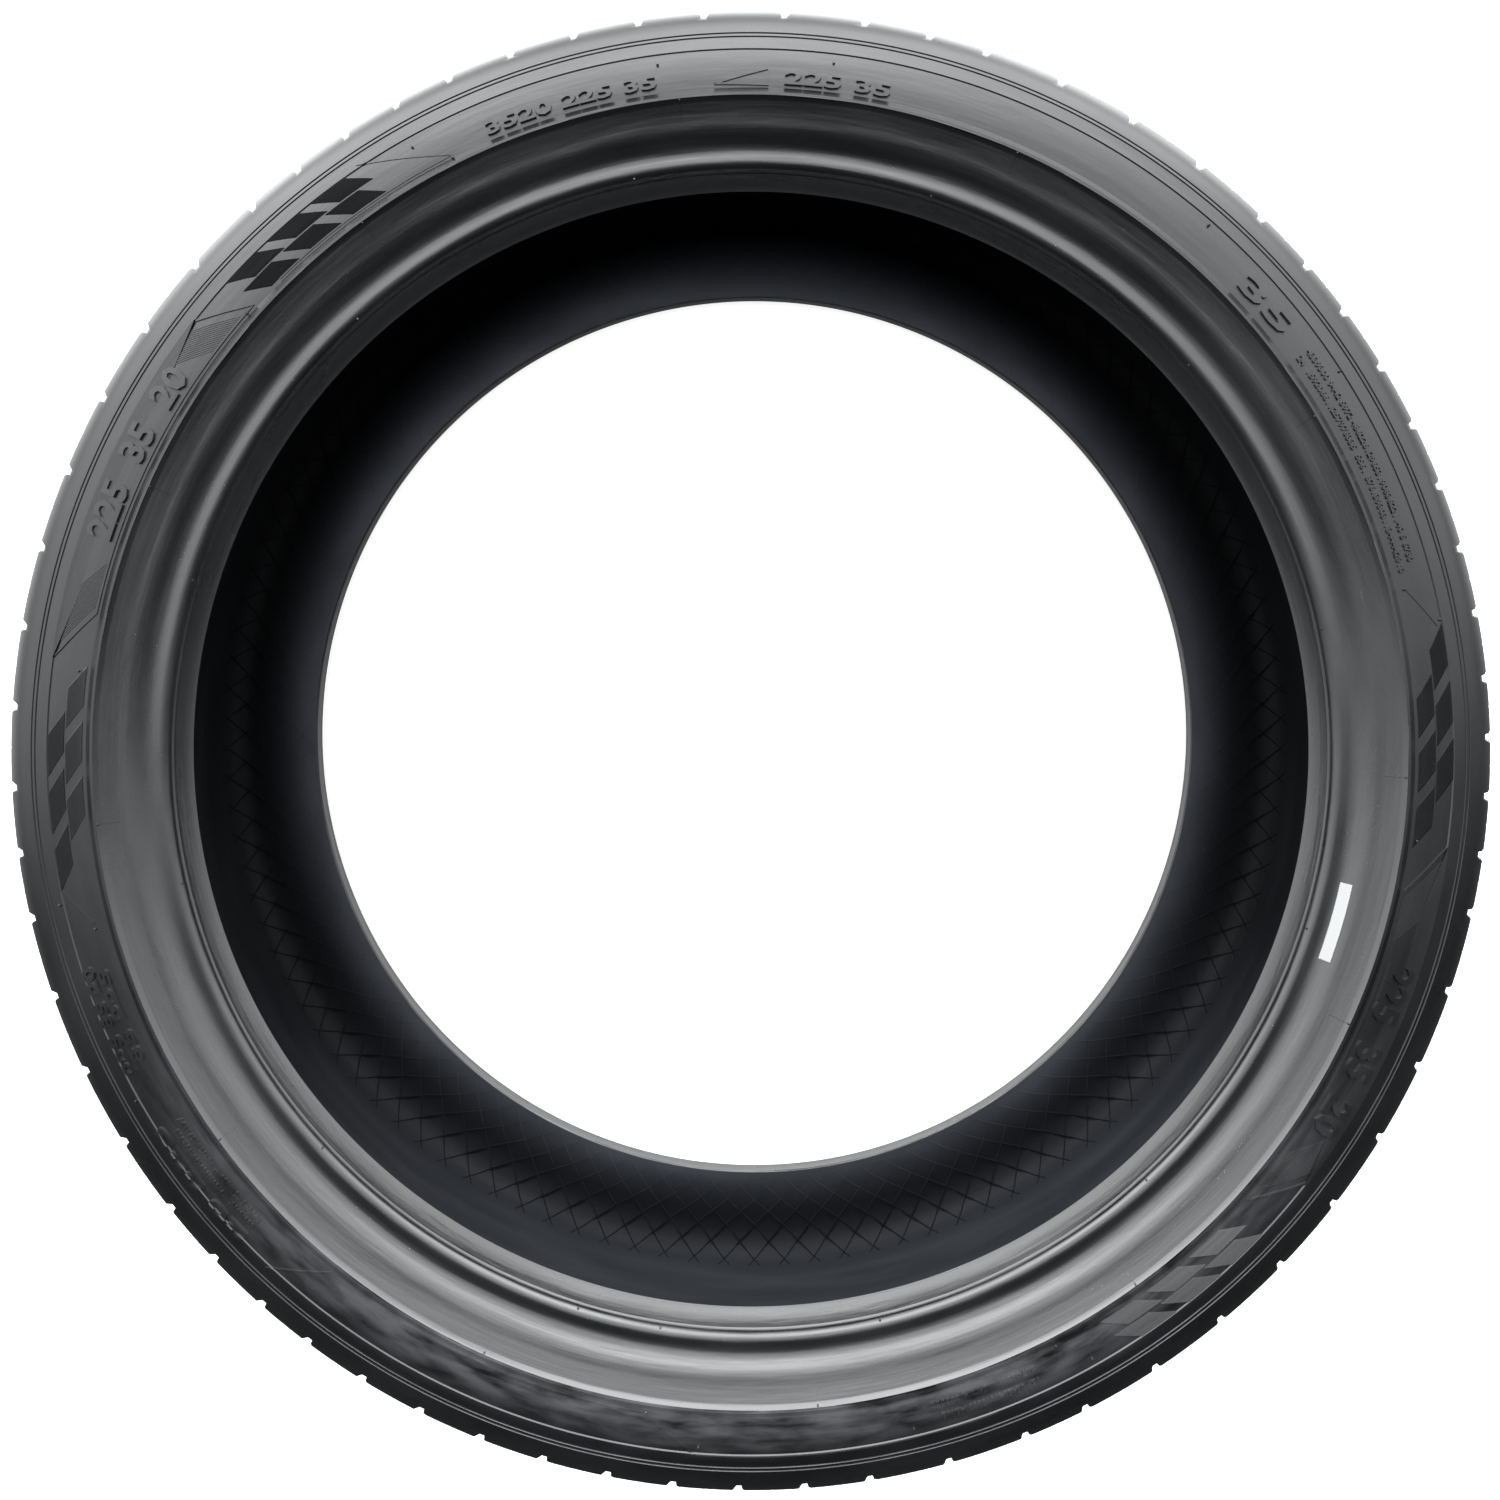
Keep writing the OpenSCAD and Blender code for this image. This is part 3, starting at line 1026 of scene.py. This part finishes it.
def hatch(from_a, to_a):
    """Fine slanted bars over the full height of the lettered band."""
    bars = []
    pitch = HATCH_PITCH / ALONG
    for k in range(int((to_a - from_a) / pitch)):
        a = from_a + k * pitch
        bar = slanted(a, a + pitch * HATCH_SHARE, BAND_IN, BAND_OUT, LEAN)
        bars.append(raised("hatch", bar, HATCH_H))
    return bars


# Width and height of the frames' ridges, and of the finer ones
FRAME = (0.8, 0.5)
FINE = (0.6, 0.3)
# Where a panel's hatched ends begin and stop, and its figures' margins, in degrees
HATCHED = (0.8, 5)
FIGURES_IN = (6.2, 8.2)


def size_panel(from_a, to_a, text):
    """A framed panel with hatched ends and the tyre's size in plain figures."""
    shape = slanted(from_a, to_a, BAND_IN, BAND_OUT, LEAN)
    made = [ridge(shape + shape[:1], *FRAME)]
    made += hatch(from_a + HATCHED[0], from_a + HATCHED[1])
    made += hatch(to_a - HATCHED[1], to_a - HATCHED[0])
    first_a = from_a + FIGURES_IN[0]
    last_a = to_a - FIGURES_IN[1]
    made.append(figures(text, first_a, last_a, low_r=292.6, high_r=304.6, height=1.3))
    return made


# The teeth of the serrated tiles throw light to one side only, so a tile is dark from elsewhere
SAW_PITCH = 1.2
SAW_LOW = 0.08
SAW_HIGH = 0.42


def sawtooth(from_a, low_r, high_r, lean, facing):
    """One bar of a serrated tile, its top a slope that faces with the clock (1) or against (-1)."""
    wide = SAW_PITCH / ALONG
    bar = raised("saw_bar", slanted(from_a, from_a + wide, low_r, high_r, lean), SAW_HIGH)
    for v in bar.data.vertices:
        x, r, h = v.co / MM
        middle = (from_a + wide / 2 + lean * (r - low_r) / (high_r - low_r)) * ALONG
        if h > 0 and (x - middle) * facing > 0:
            v.co.z = SAW_LOW * MM
    return bar


# A tile's length in degrees and its height, the gap to the next, and the step to the outer ring
TILE_A = 3.6
TILE_R = 7.4
TILE_GAP_A = 1.1
TILE_RING = 8.2
TILE_SHIFT_A = 1.8
# Shares of the band's lean over one tile and over one ring
TILE_LEAN = 0.47
RING_LEAN = 0.52


def tiles(from_a, outer_first, facing):
    """Serrated slanted tiles, three to a ring and two rings deep, set off by half a tile."""
    made = []
    for ring in range(2):
        low = BAND_IN + TILE_RING * ring
        late = ring if outer_first else 1 - ring
        shift = TILE_SHIFT_A * late + LEAN * ring * RING_LEAN
        for k in range(3):
            first = from_a + shift + k * (TILE_A + TILE_GAP_A)
            for step in range(int(TILE_A * ALONG / SAW_PITCH)):
                a = first + step * SAW_PITCH / ALONG
                made.append(sawtooth(a, low, low + TILE_R, LEAN * TILE_LEAN, facing))
    return made


FIGURE_SHARE = 0.7
SMALL_PRINT_H = 0.8


def small_print(from_a, to_a, radii, high):
    """Lines of small plain figures, each a little shorter than the one inside it."""
    made = []
    for k, r in enumerate(radii):
        count = int((to_a - from_a) * ALONG / (high * FIGURE_SHARE))
        text = "".join(random.choice("0123456789 ") for _ in range(count)).strip()
        made.append(figures(text, from_a, to_a - 0.7 * k, r, r + high, SMALL_PRINT_H))
    return made


def direction_arrow(tip_a):
    """The outline of a plain arrow head that points against the clock."""
    foot_a = tip_a + 4.6
    tip = (tip_a, 291)
    return ridge([tip, (foot_a, 290.2), (foot_a, 297.4), tip], *FRAME)


# Clock angle and radius of the vent nubs on the sidewall, and clock angles of the others
NUBS = (
    (6.9, 302.0), (41.0, 304.1), (57.1, 305.4), (76.0, 292.8), (79.1, 305.8), (97.6, 292.0),
    (150.6, 302.9), (152.8, 290.2), (166.4, 302.9), (184.3, 303.3), (189.0, 290.2), (240.4, 307.7),
    (254.9, 295.0), (257.5, 308.1), (276.9, 294.2), (311.1, 290.2), (330.8, 301.6), (333.4, 289.0),
    (352.3, 301.6),
)
TICKS = (24.0, 59.2, 92.2, 114.4, 144.1, 174.1, 203.9, 233.9, 263.7, 293.9, 323.8, 353.8)
BEAD_NUBS = (18.0, 48.6, 77.9, 107.7, 137.3, 167.2, 188.9, 197.2, 227.2, 256.9, 287.0, 317.7, 348.5)
TICK_NUB_R = 284.3
BEAD_NUB_R = 257.6
NUB_SUNK = 0.4
NUB_BEVEL_SHARE = 0.3
NUB_TILT = 0.35


def nub(angle, r, radius, height):
    """The cut-off stub of rubber that a vent hole of the mould leaves."""
    deselect()
    bpy.ops.mesh.primitive_cylinder_add(
        vertices=8, radius=radius * MM, depth=(height + NUB_SUNK) * MM
    )
    obj = bpy.context.object
    edit(obj)
    bpy.ops.mesh.bevel(offset=radius * NUB_BEVEL_SHARE * MM, segments=1)
    close_edit()
    up = Matrix.Translation((0, 0, (height - NUB_SUNK) / 2 * MM))
    lean = Matrix.Rotation(random.uniform(-NUB_TILT, NUB_TILT), 4, "X")
    obj.data.transform(Matrix.Translation(place(angle, r, surface_at(r))) @ lean @ up)
    return obj


def nubs():
    """All the vent nubs: on the sidewall, at the ticks and beside the heel."""
    made = [nub(a, r, radius=0.6, height=random.uniform(0.7, 1.4)) for a, r in NUBS]
    made += [nub(a, TICK_NUB_R, radius=0.45, height=0.7) for a in TICKS]
    made += [nub(a, BEAD_NUB_R, radius=0.5, height=random.uniform(0.6, 1.2)) for a in BEAD_NUBS]
    return joined("vent_nubs", made)


# The flash's section, and the waves around the tyre that make its height irregular
FIN = ((EDGE_R - 0.5, EDGE_Z - 0.3), (EDGE_R - 0.35, EDGE_Z), (EDGE_R - 0.6, EDGE_Z))
FIN_STEPS = 720
FIN_WAVES = 7
WAVES_AROUND = (3, 60)
FIN_RISE = 1.8
FIN_DROP = 0.2
FIN_LOWEST = -0.25
FIN_FOLD = 0.6


def flash():
    """The thin irregular fin where the mould's sidewall plate meets its bead ring."""
    obj = spun("mould_flash", FIN, FIN_STEPS)
    waves = []
    for _ in range(FIN_WAVES):
        around = math.floor(random.uniform(*WAVES_AROUND))
        waves.append((around, random.uniform(0, 6.28)))
    for v in obj.data.vertices:
        x, y, z = v.co / MM
        r = math.hypot(x, y)
        if z > EDGE_Z - 0.1:
            a = math.atan2(x, y)
            lift = sum(math.sin(n * a + s) for n, s in waves) / len(waves)
            h = max(FIN_LOWEST, FIN_RISE * lift - FIN_DROP)
            v.co = place(math.degrees(a), r - FIN_FOLD * max(0.0, h), z + h)
    return obj


TICK_R = (276.8, 283.6)
TICK_TURN = 0.02
TICK = (0.35, 0.25)


def ticks():
    """Fine radial fins on the slope inside the rim protector."""
    return [ridge([(a, TICK_R[0]), (a + TICK_TURN, TICK_R[1])], *TICK) for a in TICKS]


# Fine ridges that frame the fields, as (clock angle, radius) points
FIELD_RIDGES = (
    ((326.1, 308.2), (333.5, 290.2), (315.2, 290.2)),
    ((255.4, 294.8), (259.2, 308.0)),
    ((76.0, 293.4), (79.6, 304.4)),
    ((159.5, 307.4), (184.5, 307.4), (189.2, 290.4), (218.9, 290.4), (223.3, 308.6)),
)
SIZE_TEXT = "225  35  20"


def sidewall_relief():
    """Panels, an arrow, plain figures, lines of small figures, fine ridges and ticks.

    Figures and small print are given by clock angles, then radii or line radii and height.
    """
    flat = []
    flat += size_panel(282, 312, SIZE_TEXT)
    flat += size_panel(102, 132, SIZE_TEXT)
    flat.append(direction_arrow(356.9))
    flat.append(figures("225 35", 2.9, 12.0, 290.4, 296.6, 1.1))
    flat.append(figures("3520 225 35", 337.0, 352.0, 291.0, 297.0, 1.2))
    flat.append(figures("35", 46.2, 51.8, 292.4, 301.4, 1.2))
    flat += small_print(54.2, 74.6, (292.4, 297.6), 3.0)
    flat += small_print(155.2, 164.6, (293.6, 299.4), 3.0)
    flat.append(figures("20 225", 226.2, 237.6, 303.4, 308.4, 1.1))
    flat += small_print(226.4, 237.4, (293.6, 298.2), 2.6)
    flat.append(figures("225 35 20", 242.6, 252.0, 301.0, 305.8, 1.1))
    flat.append(figures("35 225", 243.2, 251.4, 294.8, 299.6, 1.1))
    flat += [ridge(points, *FINE) for points in FIELD_RIDGES]
    flat += ticks()
    return laid("sidewall_relief", flat)


def tile_fields():
    """The four fields of slanted tiles."""
    flat = tiles(314.2, True, -1) + tiles(83.6, False, 1)
    flat += tiles(135.6, True, -1) + tiles(262.8, False, 1)
    return laid("slanted_tiles", flat)


# A rib runs from beside the toe to this point of the liner's section, and turns by an angle on
# its way.
RIB_END = 18
RIB_TURN = math.radians(10.4)
RIB_W = 0.72
RIB_RISE = 0.45
RIB_H = 0.8
RIBS_AROUND = 110


def liner_ribs():
    """Crossing vent ribs, which let the air out between the curing bladder and the liner."""
    run = [(0.0, *LINER[0])]
    for (r0, z0), (r1, z1) in zip(LINER, LINER[1:]):
        run.append((run[-1][0] + math.hypot(r1 - r0, z1 - z0), r1, z1))
    length = run[RIB_END][0]
    ribs = []
    for side in (1, -1):
        corners = []
        for edge in (1, -1):
            part = []
            for s, r, z in run[1 : RIB_END + 1]:
                a = side * RIB_TURN * (s / length) + edge * RIB_W / 2 / r
                part.append(Vector((r * math.cos(a), r * math.sin(a), z + RIB_RISE)) * MM)
            corners += part if edge == 1 else part[::-1]
        rib = ring_of("vent_rib", corners, filled=False)
        edit(rib)
        bpy.ops.mesh.edge_face_add()
        bpy.ops.mesh.extrude_region_move(TRANSFORM_OT_translate={"value": (0, 0, -RIB_H * MM)})
        bpy.ops.mesh.select_all(action="SELECT")
        bpy.ops.mesh.normals_make_consistent(inside=False)
        close_edit()
        ribs.append(rib)
    steps = [360 * k / RIBS_AROUND for k in range(RIBS_AROUND)]
    made = [copy_of(rib, turned(a)) for rib in ribs for a in steps]
    for rib in ribs:
        bpy.data.objects.remove(rib)
    upper = joined("liner_ribs", made)
    lower = copy_of(upper, FLIP)
    return joined("liner_ribs", [upper, lower])


LABEL_A = (102.5, 110.0)
LABEL_R = (266.0, 270.2)
LABEL_STEP = 4
LABEL_SUNK = 0.05
LABEL_T = 0.17


def strip_label():
    """The bare white paper strip on the slope above the bead."""
    outline = slanted(*LABEL_A, *LABEL_R, lean=0)
    path = stepped([Vector((a * ALONG, r)) for a, r in outline + outline[:1]], LABEL_STEP)
    corners = [Vector((p.x, p.y, -LABEL_SUNK)) * MM for p in path[:-1]]
    label = prism("strip_label", corners, (0, 0, LABEL_T * MM))
    return laid("strip_label", [label])


def bare_paper():
    """Uncoated label paper: flat, without shine, and grey enough not to clip under the lamps."""
    material = bpy.data.materials.new("bare_paper")
    tree = new_tree(material)
    shader = add_node(
        tree, "ShaderNodeBsdfPrincipled", {"Base Color": linear("#8c8d8e"), "Roughness": 0.6}
    )
    add_node(tree, "ShaderNodeOutputMaterial", {"Surface": shader.outputs[0]})
    return material


def finished(obj, material, angle):
    """Gives a piece its material, its shading and its place in the tyre."""
    smooth(obj, angle)
    obj.data.materials.clear()
    obj.data.materials.append(material)
    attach(obj, "root")
    return obj


# Edges sharper than this many degrees stay sharp
RELIEF_SHARP = 30
NUB_SHARP = 40
TURNED_OVER = Matrix.Rotation(math.pi, 4, "X")

random.seed(20)
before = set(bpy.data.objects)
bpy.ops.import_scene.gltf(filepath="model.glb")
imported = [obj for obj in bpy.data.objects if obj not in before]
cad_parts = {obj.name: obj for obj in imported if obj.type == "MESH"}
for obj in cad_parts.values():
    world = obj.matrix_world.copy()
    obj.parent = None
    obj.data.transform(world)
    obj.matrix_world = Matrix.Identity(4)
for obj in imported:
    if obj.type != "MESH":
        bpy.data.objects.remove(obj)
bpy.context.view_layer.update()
scene = bpy.context.scene
scene.view_settings.view_transform = "Standard"

body, (sidewall_rubber, bead_rubber, liner_rubber) = tyre_body()
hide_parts("tyre")
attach(body, "root")

relief = sidewall_relief()
# Sidewall rubber on fine moulded teeth: the deepest black, with a glint from one side only
tile_rubber = moulded_rubber(
    "serrated_rubber",
    dark="#080809",
    bloom="#0c0c0d",
    roughness=(0.3, 0.4),
    wave_mm=0.2,
    ior=1.7,
    specular=0.9,
    coat=0.4,
)
upper_tiles = tile_fields()
pieces = [
    finished(copy_of(upper_tiles, TURNED_OVER), tile_rubber, RELIEF_SHARP),
    finished(upper_tiles, tile_rubber, RELIEF_SHARP),
    finished(copy_of(relief, TURNED_OVER), sidewall_rubber, RELIEF_SHARP),
    finished(relief, sidewall_rubber, RELIEF_SHARP),
    finished(nubs(), sidewall_rubber, NUB_SHARP),
    finished(flash(), bead_rubber, RELIEF_SHARP),
    finished(liner_ribs(), liner_rubber, RELIEF_SHARP),
]
finished(strip_label(), bare_paper(), RELIEF_SHARP)

studio_floor()
studio_sky()
soft_lamp("overhead_lamp", at=(0, 0, 3.6), watts=260)
soft_lamp("side_lamp", at=(-0.3, 3.2, 2.0), watts=190)
look_down()
